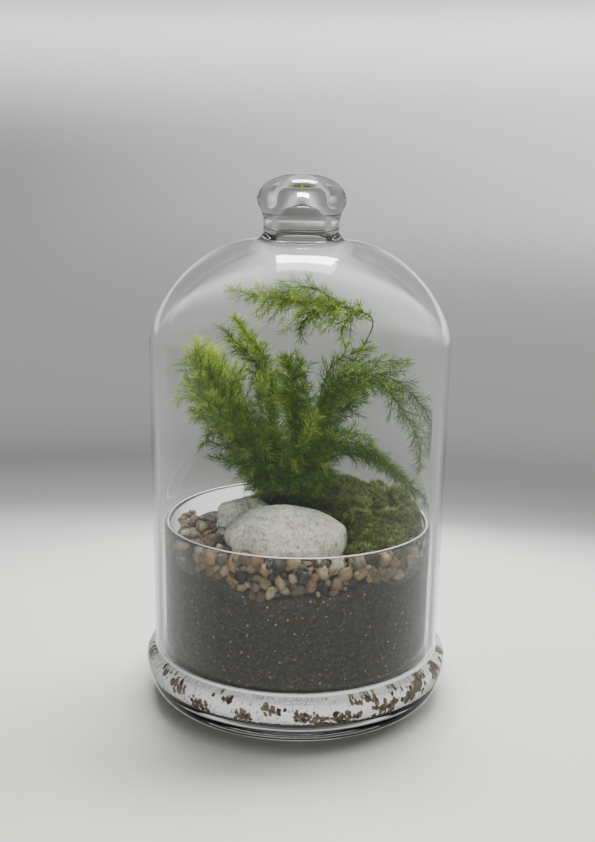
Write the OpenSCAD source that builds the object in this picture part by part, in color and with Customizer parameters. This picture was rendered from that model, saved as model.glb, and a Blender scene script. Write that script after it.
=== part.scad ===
// Glass cloche terrarium: a knobbed bell dome that stands on the ledge of a glass
// planter base. The base holds white sand, potting soil, gravel, stones, moss and
// an asparagus fern. Origin: centre of the foot, at table level. +Z is up.

/* [Size] */
// Overall height, table to top of knob
total_h = 260; // [250:1:275]
// Widest radius of the flared foot
foot_r = 76.2; // [75.8:0.1:78]
// Height of the ledge that the dome stands on
ledge_z = 25.2; // [24.8:0.1:26]

/* [Dome] */
// Outer radius of the dome at its rim
dome_rim_r = 71.7; // [71.5:0.1:72]
// Outer radius of the dome where it is widest
dome_r = 73.4; // [73:0.1:74.5]
// Height at which the shoulder starts to curve in
shoulder_z = 180; // [176:1:184]
// Glass thickness of the dome
dome_wall = 3.5; // [3.2:0.1:3.6]
// Widest radius of the knob
knob_r = 21.5; // [20.5:0.1:22.5]
// Radius of the air cavity blown into the neck
neck_bore_r = 12; // [9:0.5:12]

/* [Cup] */
// Outer radius of the planter cup at its rim
cup_r = 66.9; // [66.7:0.1:67.2]
// Height of the cup rim above the table
cup_h = 91.3; // [90.5:0.1:93]
// Glass thickness of the cup
cup_wall = 3.3; // [3.1:0.1:3.4]
// Thickness of the heavy glass bottom
bottom_t = 4.6; // [4:0.1:5]

/* [Filling] */
// Radius of the soil where it lies against the glass
soil_r = 62.6; // [62:0.1:62.8]
// Height of the soil below the gravel band
soil_z = 76.4; // [76.2:0.1:77]
// Pebbles round one full gravel ring
ring_count = 50; // [40:1:51]
// Width of the large stone
big_stone_w = 58; // [54:1:58]
// Depth of the large stone
big_stone_d = 42; // [38:1:42]
// Height of the large stone above its flat underside
big_stone_h = 25; // [22:0.5:26]

/* [Hidden] */
round_fn = 96;

clear_glass = [0.82, 0.88, 0.87, 0.35];
sand_white = [0.90, 0.89, 0.87];
grit_brown = [0.42, 0.34, 0.27];
soil_brown = [0.16, 0.14, 0.13];
pebble_tan = [0.66, 0.56, 0.44];
stone_grey = [0.66, 0.67, 0.66];
moss_green = [0.26, 0.32, 0.12];
star_green = [0.40, 0.47, 0.17];
fern_green = [0.20, 0.38, 0.10];
tip_green = [0.48, 0.60, 0.16];

// Quarter of a superellipse from (r0 + span, z0) up to (r0, z0 + rise).
function shoulder(r0, span, z0, rise) =
    [for (a = [0:5:90])
        [r0 + span * pow(max(cos(a), 0), 1.07), z0 + rise * pow(sin(a), 1.274)]];

function flip(list) = [for (i = [len(list) - 1:-1:0]) list[i]];

knob_z = total_h - 11.8;       // level of the knob's widest ring
neck_z = total_h - 30;         // level where the neck leaves the shoulder
roof_z = neck_z - 0.8;         // outside of the dome's roof at the neck
wall_in = dome_r - dome_wall;  // inner radius where the dome is widest

// The shell ends in a flat ring at roof_z, where the knob was fused on hot.
dome_outside = concat(
    [[dome_rim_r - 0.5, ledge_z], [dome_rim_r, ledge_z + 0.6]],
    shoulder(20.9, dome_r - 20.9, shoulder_z, roof_z - shoulder_z));
dome_inside = concat(
    [[dome_rim_r - 3.1, ledge_z], [dome_rim_r - 3.5, ledge_z + 0.5]],
    shoulder(13, wall_in - 13, shoulder_z, roof_z - dome_wall - shoulder_z),
    [[neck_bore_r + 0.8, roof_z - 2.4], [neck_bore_r + 0.3, roof_z]]);
knob_outside = [
    [20.9, roof_z], [19.4, neck_z + 1.2], [18.6, neck_z + 3], [18.3, neck_z + 6],
    [18.5, knob_z - 9], [19.2, knob_z - 6.4], [20.3, knob_z - 4],
    [knob_r - 0.3, knob_z - 1.8], [knob_r, knob_z],
    [knob_r - 0.2, knob_z + 1.8], [knob_r - 0.9, knob_z + 3.6],
    [knob_r - 2.3, knob_z + 5.6], [knob_r - 4.4, knob_z + 7.6],
    [knob_r - 7.6, knob_z + 9.5], [knob_r - 11.5, knob_z + 10.8],
    [knob_r - 16, knob_z + 11.6], [0, total_h]];
knob_inside = [
    [neck_bore_r + 0.3, roof_z], [neck_bore_r, neck_z + 2], [neck_bore_r - 0.1, knob_z - 8],
    [neck_bore_r - 0.7, knob_z - 4.6], [neck_bore_r - 2.4, knob_z - 1.2],
    [neck_bore_r - 6, knob_z + 1.4], [0, knob_z + 2.2]];

cup_in = cup_r - cup_wall;
floor_z = bottom_t + 1;
vessel_outside = [
    [0, 1], [36, 1], [38, 0], [61, 0], [64.8, 0.5], [68.3, 2], [71.4, 4.8],
    [73.7, 8.7], [foot_r - 1, 13.2], [foot_r - 0.2, 16.8],
    [foot_r, 19.4], [foot_r - 0.5, 21.8], [foot_r - 1.8, 23.8],
    [foot_r - 3.2, ledge_z - 0.2], [72.3, ledge_z], [67.6, ledge_z],
    [66.8, ledge_z + 0.3], [66.4, ledge_z + 1.4], [66.3, ledge_z + 6],
    [cup_r, cup_h - 2.2], [cup_r - 0.3, cup_h - 0.8], [cup_r - 1, cup_h - 0.1],
    [cup_r - 1.7, cup_h], [cup_in + 0.7, cup_h - 0.3], [cup_in + 0.1, cup_h - 1.2],
    [cup_in, cup_h - 2.4]];
vessel_inside = [
    [63.1, 29], [63.2, 26.6], [63.9, 24.4], [65.4, 22.7], [68.4, 21.7],
    [70.8, 20.6], [72.1, 18.8], [72.3, 16.6], [71.3, 13.8], [69, 10.8],
    [65.4, 8.2], [60.6, 6.5], [53, floor_z], [0, floor_z]];
sand_outline = [
    [0, floor_z + 0.3], [53, floor_z + 0.3], [60.4, 6.9], [65.2, 8.6],
    [68.7, 11.1], [70.9, 14], [71.9, 16.7], [71.7, 18.6], [70.6, 20.2],
    [68.3, 21.2], [65.2, 22], [63, 20.8], [0, 20.8]];
soil_outline = [
    [0, 21], [soil_r, 21], [soil_r, soil_z], [55.4, soil_z], [55.4, 80.4],
    [42, 81.6], [25, 83.4], [0, 84.6]];

module lathe(points) {
    rotate_extrude($fn = round_fn) polygon(points);
}

// A rounded pebble with three semi-axes, turned about the vertical.
module pebble(a, b, c, turn) {
    rotate([0, 0, turn]) scale([a, b, c]) sphere(r = 1, $fn = 20);
}

// Pebbles side by side on a circle, from one angle to another.
module pebble_ring(radius, z, from, to, seed) {
    step = 360 / ring_count;
    n = floor((to - from) / step);
    size = rands(0.84, 1, n + 1, seed);
    lift = rands(-0.25, 0.25, n + 1, seed + 1);
    for (i = [0:n - 1])
        rotate([0, 0, from + i * step])
            translate([radius, 0, z + lift[i]])
                pebble(3 * size[i], 3.4 * size[i], 2.75 * size[i], 14 * lift[i]);
}

// An egg-shaped mass, smooth enough to stand for a river stone or a moss cushion.
module egg(centre, axes, tilt, sides) {
    translate(centre) rotate(tilt) scale(axes) sphere(r = 1, $fn = sides);
}

// Catmull-Rom curve through [x, y, z, radius] points.
function curve(p, steps) = [
    for (i = [0:len(p) - 2], s = [0:steps - 1])
        let (t = s / steps,
             b = p[i], c = p[i + 1],
             a = i > 0 ? p[i - 1] : 2 * b - c,
             d = i < len(p) - 2 ? p[i + 2] : 2 * c - b)
        0.5 * (2 * b + (c - a) * t + (2 * a - 5 * b + 4 * c - d) * t * t
               + (3 * b - a - 3 * c + d) * t * t * t),
    p[len(p) - 1]];
function unit(v) = v / norm(v);
function place(p) = [p[0], p[1], p[2]];

// A closed tube of changing radius along a curve: bare stalk, full plume, thin tip.
module frond(points) {
    sides = 8;
    path = curve(points, 3);
    n = len(path);
    rings = [
        for (i = [0:n - 1])
            let (ahead = place(path[min(i + 1, n - 1)]),
                 behind = place(path[max(i - 1, 0)]),
                 t = unit(ahead - behind),
                 u = unit(cross(t, [0.2, 1, 0.1])),
                 v = cross(t, u))
            for (k = [0:sides - 1])
                place(path[i]) + max(path[i][3], 0.7)
                    * (u * cos(k * 360 / sides) + v * sin(k * 360 / sides))];
    skin = [
        for (i = [0:n - 2], k = [0:sides - 1])
            let (a = i * sides + k, b = i * sides + (k + 1) % sides)
            for (f = [[a, a + sides, b], [b, a + sides, b + sides]]) f];
    polyhedron(rings,
               concat([[for (k = [0:sides - 1]) k]], skin,
                      [[for (k = [sides - 1:-1:0]) (n - 1) * sides + k]]));
}

module glass_dome() {
    color(clear_glass) lathe(concat(dome_outside, flip(dome_inside)));
}

module glass_knob() {
    color(clear_glass) lathe(concat(knob_outside, flip(knob_inside)));
}

module base_vessel() {
    color(clear_glass) lathe(concat(vessel_outside, vessel_inside));
}

module white_sand() {
    color(sand_white) lathe(sand_outline);
}

module drainage_grit() {
    color(grit_brown)
        for (i = [0:23])
            rotate([0, 0, i * 15 + 4 * (i % 3)])
                translate([66.2 + (i % 3), 0, 12.4 + 2 * (i % 3)])
                    scale([1.9, 2.6 + (i % 2), 1.5]) sphere(r = 1, $fn = 20);
}

module potting_soil() {
    color(soil_brown)
        difference() {
            lathe(soil_outline);
            // the gravel reaches deeper along the front
            rotate([0, 0, 200])
                rotate_extrude(angle = 140, $fn = round_fn)
                    translate([56, 70.4]) square([10, 10]);
        }
}

module gravel_band_low() {
    color(pebble_tan) pebble_ring(59.2, 73.4, 203, 339, 11);
}

module gravel_band_mid() {
    color(pebble_tan) pebble_ring(59.2, 79.5, 2, 362, 23);
}

module gravel_band_top() {
    color(pebble_tan) pebble_ring(59.2, 85.6, 176, 346, 37);
}

module surface_gravel() {
    color(pebble_tan)
        for (x = [-50:7.4:-14], y = [-25:7.4:13])
            if (norm([x, y]) < 51.5 && norm([(x + 25.5) / 18.5, (y + 6) / 15.5]) > 1
                && norm([(x + 5.4) / 33, (y + 35) / 24]) > 1
                && norm([x + 13, y - 26]) > 24)
                translate([x, y, 84.4 + 0.3 * cos(40 * x + 25 * y)])
                    pebble(3.4, 2.9, 2.3, 9 * cos(60 * x));
}

module large_stone() {
    // an egg shape, worn flat underneath
    color(stone_grey)
        intersection() {
            egg([-5.4, -35, 89.6], [big_stone_w / 2, big_stone_d / 2, big_stone_h - 7.8],
                [0, 0, 2], 36);
            translate([-60, -80, 81.8]) cube([110, 90, 60]);
        }
}

module small_stone() {
    color(stone_grey) egg([-25.5, -6, 89.5], [14.5, 11, 12.5], [0, 0, 8], 28);
}

// The main cushion, a lobe that runs behind the stones and one that meets the glass.
module moss_mound() {
    color(moss_green) {
        egg([21, 18, 84], [33, 35, 23], [0, 0, 0], 36);
        egg([-13, 26, 84], [20, 19, 12], [0, 0, 0], 36);
        egg([42, 10, 83], [18, 24, 13], [0, 0, 0], 36);
    }
}

module star_moss() {
    color(star_green) egg([38.5, -25, 85.5], [15.5, 17, 11.5], [0, 0, 0], 32);
}

module fern_crown() {
    color(fern_green) {
        translate([-1, 10, 84]) cylinder(h = 4, r = 9, $fn = 32);
        translate([-1, 10, 87.9]) cylinder(h = 2.1, r1 = 9, r2 = 6.5, $fn = 32);
    }
}

module frond_left() {
    color(tip_green)
        frond([[-7, 8, 88, 0.9], [-20, 6, 126, 1], [-36, 2, 147, 3.5],
               [-45, -2, 161, 4.5], [-49, -5, 173, 4], [-49, -6, 180, 1]]);
}

module frond_left_low() {
    color(fern_green)
        frond([[-5, 5, 88, 0.9], [-25, -10, 136, 1], [-38, -18, 149, 4],
               [-46, -23, 156, 4.5], [-51, -25, 160, 1]]);
}

module frond_left_mid() {
    color(fern_green)
        frond([[-6, 14, 88, 0.9], [-24, 22, 131, 1], [-36, 29, 149, 4.5],
               [-42, 33, 160, 4], [-45, 34, 168, 1]]);
}

module frond_lower_left() {
    color(fern_green)
        frond([[-7, 11, 88, 0.9], [-15, 11, 110, 1], [-25, 11, 119, 3],
               [-37, 12, 123, 3], [-47, 12, 126, 0.8]]);
}

module frond_upper_left() {
    color(fern_green)
        frond([[-3, 15, 88, 0.9], [-12, 14, 130, 1], [-13, 16, 151, 4],
               [-19, 16, 171, 3.5], [-27, 14, 183, 2.5], [-33, 10, 192, 0.8]]);
}

module frond_centre() {
    color(fern_green)
        frond([[-1, 4, 88, 0.9], [1, -6, 131, 1], [-1, -14, 151, 4.5],
               [-2, -18, 165, 4.5], [-5, -18, 175, 1]]);
}

module frond_tall() {
    color(fern_green)
        frond([[1, 13, 88, 0.9], [7, 12, 132, 0.8], [18, 12, 153, 0.8],
               [30, 12, 174, 0.8], [36, 11, 190, 1], [28, 5, 197, 3], [14, 0, 199, 5],
               [-4, -4, 202, 5], [-19, -8, 204, 3.5], [-33, -10, 207, 0.8]]);
}

module frond_right_upper() {
    color(fern_green)
        frond([[1, 7, 88, 0.9], [8, 4, 134, 0.9], [11, -3, 156, 2.5],
               [16, -8, 170, 4], [25, -10, 176, 3.5], [35, -11, 180, 1]]);
}

module frond_right_tip() {
    color(fern_green)
        frond([[4, 14, 88, 0.9], [10, 18, 136, 1], [19, 26, 157, 3.5],
               [34, 28, 164, 4], [47, 27, 165, 2.5], [57, 25, 165, 0.8]]);
}

module frond_right_arch() {
    color(fern_green)
        frond([[2, 4, 88, 0.9], [8, -5, 132, 0.9], [14, -16, 158, 3],
               [24, -24, 168, 4], [37, -25, 165, 4.5], [48, -23, 152, 3.5],
               [56, -19, 138, 2.5], [59, -15, 127, 1.5], [59, -12, 118, 1]]);
}

module frond_right_mid() {
    color(fern_green)
        frond([[2, 16, 88, 0.9], [14, 26, 129, 1], [27, 36, 141, 4],
               [37, 39, 146, 1]]);
}

module frond_lower_right() {
    color(fern_green)
        frond([[4, 9, 88, 0.9], [9, 4, 119, 1], [20, -2, 130, 3.5], [33, -6, 128, 3],
               [45, -8, 120, 2], [54, -8, 110, 1], [58, -8, 104, 0.7]]);
}

module frond_back() {
    color(fern_green)
        frond([[-2, 17, 88, 0.9], [2, 30, 128, 1], [-6, 42, 145, 4.5],
               [-10, 46, 155, 1]]);
}

glass_dome();
glass_knob();
base_vessel();
white_sand();
drainage_grit();
potting_soil();
gravel_band_low();
gravel_band_mid();
gravel_band_top();
surface_gravel();
large_stone();
small_stone();
moss_mound();
star_moss();
fern_crown();
frond_left();
frond_left_low();
frond_left_mid();
frond_lower_left();
frond_upper_left();
frond_centre();
frond_tall();
frond_right_upper();
frond_right_tip();
frond_right_arch();
frond_right_mid();
frond_lower_right();
frond_back();
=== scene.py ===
"""Glass cloche terrarium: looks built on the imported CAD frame. Metres, +Z up."""

import math

import bpy
import numpy as np
from mathutils import Matrix, Vector, noise


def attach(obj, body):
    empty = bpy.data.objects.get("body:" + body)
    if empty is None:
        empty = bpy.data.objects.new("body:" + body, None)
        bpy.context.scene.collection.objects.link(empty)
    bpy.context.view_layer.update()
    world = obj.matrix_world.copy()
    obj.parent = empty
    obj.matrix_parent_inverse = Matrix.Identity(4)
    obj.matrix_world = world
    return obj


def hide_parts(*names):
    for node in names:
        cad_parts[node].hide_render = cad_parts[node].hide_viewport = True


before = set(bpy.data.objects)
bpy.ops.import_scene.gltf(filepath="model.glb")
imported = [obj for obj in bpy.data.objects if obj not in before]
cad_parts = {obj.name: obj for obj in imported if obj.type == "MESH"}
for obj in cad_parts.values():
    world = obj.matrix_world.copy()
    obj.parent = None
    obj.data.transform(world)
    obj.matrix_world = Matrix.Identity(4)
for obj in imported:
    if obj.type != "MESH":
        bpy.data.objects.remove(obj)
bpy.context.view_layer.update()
MM = 0.001
BASE, DOME = "planted_base", "dome"
TAU = 2 * math.pi


# ---------------- materials
BLACK, WHITE = (0, 0, 0), (1, 1, 1)
RAMP_SCALE = 4.0    # spreads heights in metres over a colour ramp, which runs from 0 to 1


def set_stops(ramp, stops):
    """Fills a colour ramp node. stops: places from 0 to 1, each with its colour."""
    elements = ramp.color_ramp.elements
    while len(elements) < len(stops):
        elements.new(0.5)
    for element, (at, colour) in zip(elements, stops):
        element.position = at
        element.color = (*colour, 1)


class Nodes:
    """A material, or the world, whose node tree is built in a few words."""

    def __init__(self, name, world=False):
        self.mat = (bpy.data.worlds if world else bpy.data.materials).new(name)
        self.mat.use_nodes = True
        self.tree = self.mat.node_tree
        self.tree.nodes.clear()
        self.out = self.add("OutputWorld" if world else "OutputMaterial")

    def put(self, socket, value):
        """Links another node's output to the socket, or sets a plain value or colour on it."""
        if isinstance(value, bpy.types.NodeSocket):
            self.tree.links.new(value, socket)
        elif socket.type == "RGBA" and len(value) == 3:
            socket.default_value = (*value, 1)
        else:
            socket.default_value = value

    def add(self, kind, **inputs):
        node = self.tree.nodes.new("ShaderNode" + kind)
        for key, value in inputs.items():
            if key in ("operation", "attribute_name"):
                setattr(node, key, value)
            elif key in ("i0", "i1"):
                self.put(node.inputs[int(key[1])], value)
            else:
                self.put(node.inputs[key.replace("_", " ")], value)
        return node

    def link(self, a, b):
        self.tree.links.new(a, b)

    def place(self):
        return self.add("TexCoord").outputs["Object"]

    def ramp(self, fac, stops):
        node = self.add("ValToRGB", Fac=fac)
        set_stops(node, stops)
        return node.outputs["Color"]

    def mask(self, fac, at, width):
        """White up to one value of fac and black past it, or the other way with a width below 0."""
        low, high = (WHITE, BLACK) if width > 0 else (BLACK, WHITE)
        return self.ramp(fac, [(at, low), (at + abs(width), high)])

    def noise(self, vector, scale, detail=3, rough=0.55):
        return self.add("TexNoise", Vector=vector, Scale=scale, Detail=detail,
                        Roughness=rough).outputs["Fac"]

    def voronoi(self, vector, scale):
        return self.add("TexVoronoi", Vector=vector, Scale=scale).outputs

    def mix(self, fac, a, b, blend="MIX"):
        node = self.tree.nodes.new("ShaderNodeMix")
        node.data_type = "RGBA"
        node.blend_type = blend
        for index, value in ((0, fac), (6, a), (7, b)):
            self.put(node.inputs[index], value)
        return node.outputs[2]

    def math(self, operation, a, b):
        return self.add("Math", operation=operation, i0=a, i1=b).outputs[0]

    def bump(self, height, strength, distance):
        return self.add("Bump", Strength=strength, Distance=distance,
                        Height=height).outputs["Normal"]

    def blend(self, fac, first, second):
        """Shows the first shader where fac is 0 and the second where it is 1."""
        both = self.add("MixShader", Fac=fac)
        self.link(first.outputs[0], both.inputs[1])
        self.link(second.outputs[0], both.inputs[2])
        self.link(both.outputs[0], self.out.inputs["Surface"])
        return self.mat

    def finish(self, colour, rough, normal=None, gloss=0.5):
        """An opaque material. gloss: the level of its mirror reflection, 0.5 for plain glass."""
        shader = self.add("BsdfPrincipled", Base_Color=colour, Roughness=rough,
                          Specular_IOR_Level=gloss)
        if normal is not None:
            self.link(normal, shader.inputs["Normal"])
        self.link(shader.outputs[0], self.out.inputs["Surface"])
        return self.mat


def glass(name, tint, clear, wave, thick_and_shade):
    """Blown glass: faint waves in its surface, and light passes it in shadows. The last argument
    gives heights and the share of light that comes through: less where the glass is heavier than
    its wall, and at the vessel's heel less again as painted shade."""
    n = Nodes(name)
    at = n.place()
    rough = n.mix(n.noise(at, 60, 3), (0.0, 0.0, 0.0), (0.03, 0.03, 0.03))
    height = n.add("SeparateXYZ", Vector=at).outputs["Z"]
    body = n.ramp(n.math("MULTIPLY", height, RAMP_SCALE),
                  [(z * RAMP_SCALE, tuple(c * share for c in tint)) for z, share in thick_and_shade])
    shader = n.add("BsdfPrincipled", Base_Color=body, Roughness=rough, IOR=1.47,
                   Normal=n.bump(n.noise(at, 26, 2), wave, 0.0015), Transmission_Weight=1.0)
    through = n.add("BsdfTransparent", Color=clear)
    return n.blend(n.add("LightPath").outputs["Is Shadow Ray"], shader, through)


def sand_look():
    """White quartz grains with a few dark ones, dirty in patches."""
    n = Nodes("white_sand")
    at = n.place()
    grain = n.voronoi(at, 1150)
    shade = n.ramp(grain["Color"], [(0.0, (0.22, 0.21, 0.19)), (0.13, (0.74, 0.72, 0.69)),
                                    (0.22, (0.98, 0.975, 0.965)), (1.0, (1.0, 1.0, 0.99))])
    dirt = n.mask(n.noise(at, 700, 3, 0.7), 0.60, -0.04)
    patch = n.mask(n.noise(at, 70, 3), 0.46, -0.16)
    tone = n.mix(n.math("MULTIPLY", dirt, patch), shade, (0.10, 0.085, 0.07))
    normal = n.bump(grain["Distance"], 0.8, 0.0005)
    return n.finish(tone, 0.7, normal, 0.4)


def soil_look():
    """Dark crumbs with fine specks: pale perlite, dull grit and orange bark."""
    n = Nodes("potting_soil")
    at = n.place()
    tone = n.ramp(n.noise(at, 620, 6, 0.75), [
        (0.3, (0.030, 0.028, 0.025)), (0.5, (0.054, 0.049, 0.042)), (0.72, (0.105, 0.093, 0.078))])
    for scale, size, bare, colour in ((290, 0.11, 0.55, (0.34, 0.32, 0.27)),
                                      (520, 0.17, 0.40, (0.16, 0.14, 0.11)),
                                      (240, 0.12, 0.45, (0.25, 0.14, 0.065))):
        cell = n.voronoi(at, scale)
        dot = n.mask(cell["Distance"], size, 0.05)
        some = n.mask(cell["Color"], bare, -0.02)
        tone = n.mix(n.math("MULTIPLY", dot, some), tone, colour)
    normal = n.bump(n.noise(at, 900, 4, 0.75), 0.7, 0.0005)
    return n.finish(tone, 0.95, normal, 0.15)


def pebble_look(name, rough=0.55):
    """Tumbled quartz gravel; each stone's own colour comes from its vertex colour."""
    n = Nodes(name)
    at = n.place()
    own = n.add("Attribute", attribute_name="tint").outputs["Color"]
    vein = n.noise(at, 330, 5, 0.65)
    tone = n.mix(0.55, own, n.ramp(vein, [(0.32, (0.30, 0.24, 0.19)), (0.5, (0.85, 0.80, 0.74)),
                                          (0.7, (1.0, 0.98, 0.94))]), "MULTIPLY")
    speck = n.mask(n.voronoi(at, 1500)["Distance"], 0.10, 0.12)
    tone = n.mix(n.math("MULTIPLY", speck, 0.45), tone, (0.09, 0.07, 0.055))
    normal = n.bump(n.noise(at, 700, 4), 0.5, 0.0004)
    return n.finish(tone, rough, normal)


def granite_look(name, light, dark, olive):
    """Cloudy grey stone with fine grain, black flecks and faint olive bands."""
    n = Nodes(name)
    at = n.place()
    brighter = tuple(1.25 * c for c in light)
    tone = n.ramp(n.noise(at, 45, 4, 0.6), [(0.3, dark), (0.52, light), (0.75, brighter)])
    fine = n.ramp(n.noise(at, 430, 5, 0.85), [
        (0.38, (0.10, 0.10, 0.09)), (0.47, (0.66, 0.66, 0.64)), (0.58, WHITE)])
    tone = n.mix(0.75, tone, fine, "MULTIPLY")
    fleck = n.voronoi(at, 780)
    black = n.mask(fleck["Distance"], 0.16, 0.12)
    some = n.mask(fleck["Color"], 0.55, -0.07)
    tone = n.mix(n.math("MULTIPLY", black, some), tone, (0.035, 0.035, 0.032))
    tilted = n.add("Mapping", Vector=at, Rotation=(0.2, 0.5, 0.3)).outputs[0]
    band = n.add("TexWave", Vector=tilted, Scale=34.0, Distortion=9.0, Detail=4.0).outputs["Fac"]
    tone = n.mix(n.math("MULTIPLY", n.mask(band, 0.62, -0.28), 0.28), tone, olive)
    normal = n.bump(n.noise(at, 520, 5, 0.7), 0.55, 0.0005)
    return n.finish(tone, 0.72, normal, 0.35)


def leaf_look(name, dark, mid, tip, rough):
    """Needles and moss leaves, from dark to yellow by vertex colour, which in the fern carries the
    shoots' age and, low in the bush, painted shade.
    """
    n = Nodes(name)
    at = n.place()
    tint = n.add("Attribute", attribute_name="tint").outputs["Color"]
    leaf_tone = n.add("SeparateColor", Color=tint).outputs[0]
    mottle = n.noise(at, 240, 3)
    value = n.math("ADD", leaf_tone, n.math("MULTIPLY", n.math("SUBTRACT", mottle, 0.5), 0.25))
    tone = n.ramp(value, [(0.0, dark), (0.5, mid), (1.0, tip)])
    normal = n.bump(n.noise(at, 900, 3), 0.3, 0.0002)
    return n.finish(tone, rough, normal, 0.35)


# ---------------- meshes
def rows(faces):
    """Faces of any size as rows of four corners; a triangle's last corner is -1."""
    out = []
    for f in faces:
        if len(f) <= 4:
            out.append(list(f) + [-1] * (4 - len(f)))
        else:
            out += [[f[0], f[k], f[k + 1], -1] for k in range(1, len(f) - 1)]
    return np.array(out, np.int64)


def join(parts):
    """Joins (vertices, faces, tones) parts into one."""
    start = np.cumsum([0] + [len(p[0]) for p in parts[:-1]])
    faces = [np.where(p[1] < 0, -1, p[1] + k) for p, k in zip(parts, start)]
    return (np.vstack([p[0] for p in parts]), np.vstack(faces),
            np.concatenate([p[2] for p in parts]))


def mesh(name, verts, faces, material, slot, body=BASE, stands_for=(), tint=None):
    """A smooth-shaded object from points in mm. tint: one grey or one colour for each point."""
    data = bpy.data.meshes.new(name)
    faces = faces if isinstance(faces, np.ndarray) else rows(faces)
    verts = np.asarray(verts, np.float32) * np.float32(MM)
    used = faces >= 0
    corners, sizes = faces[used], used.sum(axis=1)
    data.vertices.add(len(verts))
    data.vertices.foreach_set("co", verts.ravel())
    data.loops.add(len(corners))
    data.loops.foreach_set("vertex_index", corners.astype(np.int32))
    data.polygons.add(len(faces))
    data.polygons.foreach_set("loop_start", (np.cumsum(sizes) - sizes).astype(np.int32))
    data.polygons.foreach_set("use_smooth", np.ones(len(faces), bool))
    data.update(calc_edges=True)
    data.validate()
    data.materials.append(material)
    if tint is not None:
        tint = np.asarray(tint, np.float32)
        layer = data.color_attributes.new("tint", "FLOAT_COLOR", "POINT")
        rgba = np.ones((len(verts), 4), np.float32)
        rgba[:, :3] = tint[:, None] if tint.ndim == 1 else tint
        layer.data.foreach_set("color", rgba.ravel())
    obj = bpy.data.objects.new(name, data)
    bpy.context.scene.collection.objects.link(obj)
    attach(obj, body)
    if stands_for:
        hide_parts(*stands_for)


def curve_through(points, steps):
    """Catmull-Rom through the points, which may have any number of columns."""
    p = np.asarray(points, float)
    q = np.vstack([2 * p[0] - p[1], p, 2 * p[-1] - p[-2]])
    out = []
    for i in range(1, len(q) - 2):
        for t in np.linspace(0, 1, steps, endpoint=False):
            a, b, c, d = q[i - 1], q[i], q[i + 1], q[i + 2]
            out.append(0.5 * (2 * b + (c - a) * t + (2 * a - 5 * b + 4 * c - d) * t * t
                              + (3 * b - a - 3 * c + d) * t ** 3))
    out.append(p[-1])
    return np.array(out)


def lathe(profile, around, bump=None):
    """A closed surface of revolution; the profile starts and ends on the axis or is a loop."""
    profile = [(max(r, 0.0), z) for r, z in profile]
    verts, rings = [], []
    for r, z in profile:
        if r < 1e-6:
            rings.append([len(verts)] * around)
            verts.append((0.0, 0.0, z))
            continue
        ring = []
        for i in range(around):
            a = TAU * i / around
            rr, zz = (r, z) if bump is None else bump(r, z, a)
            ring.append(len(verts))
            verts.append((rr * math.cos(a), rr * math.sin(a), zz))
        rings.append(ring)
    loop = profile[0][0] > 1e-6 and profile[-1][0] > 1e-6
    faces = []
    for j in range(len(rings) - (0 if loop else 1)):
        lower, upper = rings[j], rings[(j + 1) % len(rings)]
        for i in range(around):
            k = (i + 1) % around
            quad = [lower[i], lower[k], upper[k], upper[i]]
            face = [v for n, v in enumerate(quad) if v not in quad[:n]]
            if len(face) > 2:
                faces.append(face)
    return np.array(verts), faces


def shoulder(r0, span, z0, rise):
    """The dome's shoulder, from its wall at z0 up to radius r0: nearly a quarter ellipse."""
    return [(r0 + span * max(math.cos(a), 0) ** 1.07, z0 + rise * math.sin(a) ** 1.274)
            for a in np.radians(np.arange(0, 90.01, 2.5))]


def smooth_profile(points, steps):
    """A curve through the points of an outline, with so many steps between two of them."""
    return [tuple(p) for p in curve_through(points, steps)]


def icosphere(level):
    """Points and triangles of a unit ball, its 20 faces split in four so many times over."""
    t = (1 + 5 ** 0.5) / 2
    v = [(-1, t, 0), (1, t, 0), (-1, -t, 0), (1, -t, 0), (0, -1, t), (0, 1, t),
         (0, -1, -t), (0, 1, -t), (t, 0, -1), (t, 0, 1), (-t, 0, -1), (-t, 0, 1)]
    f = [(0, 11, 5), (0, 5, 1), (0, 1, 7), (0, 7, 10), (0, 10, 11), (1, 5, 9), (5, 11, 4),
         (11, 10, 2), (10, 7, 6), (7, 1, 8), (3, 9, 4), (3, 4, 2), (3, 2, 6), (3, 6, 8),
         (3, 8, 9), (4, 9, 5), (2, 4, 11), (6, 2, 10), (8, 6, 7), (9, 8, 1)]
    v = [np.array(p, float) / np.linalg.norm(p) for p in v]
    for _ in range(level):
        made, out = {}, []

        def middle(a, b):
            key = (min(a, b), max(a, b))
            if key not in made:
                m = v[a] + v[b]
                made[key] = len(v)
                v.append(m / np.linalg.norm(m))
            return made[key]

        for a, b, c in f:
            ab, bc, ca = middle(a, b), middle(b, c), middle(c, a)
            out += [(a, ab, ca), (b, bc, ab), (c, ca, bc), (ab, bc, ca)]
        f = out
    return np.array(v), f


def rough_ball(ball, seed, amount, freq):
    """The ball's points pushed in and out by smooth noise: the shape of a tumbled stone."""
    shift = Vector((seed * 3.17, seed * 1.31, seed * 7.7))
    k = [1 + amount * noise.noise(Vector(p) * freq + shift)
         + 0.35 * amount * noise.noise(Vector(p) * freq * 2.7 + shift) for p in ball]
    return ball * np.array(k)[:, None]


def turn(rng):
    """A random rotation matrix."""
    q = rng.normal(size=4)
    w, x, y, z = q / np.linalg.norm(q)
    return np.array([[1 - 2 * (y * y + z * z), 2 * (x * y - z * w), 2 * (x * z + y * w)],
                     [2 * (x * y + z * w), 1 - 2 * (x * x + z * z), 2 * (y * z - x * w)],
                     [2 * (x * z - y * w), 2 * (y * z + x * w), 1 - 2 * (x * x + y * y)]])


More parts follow.
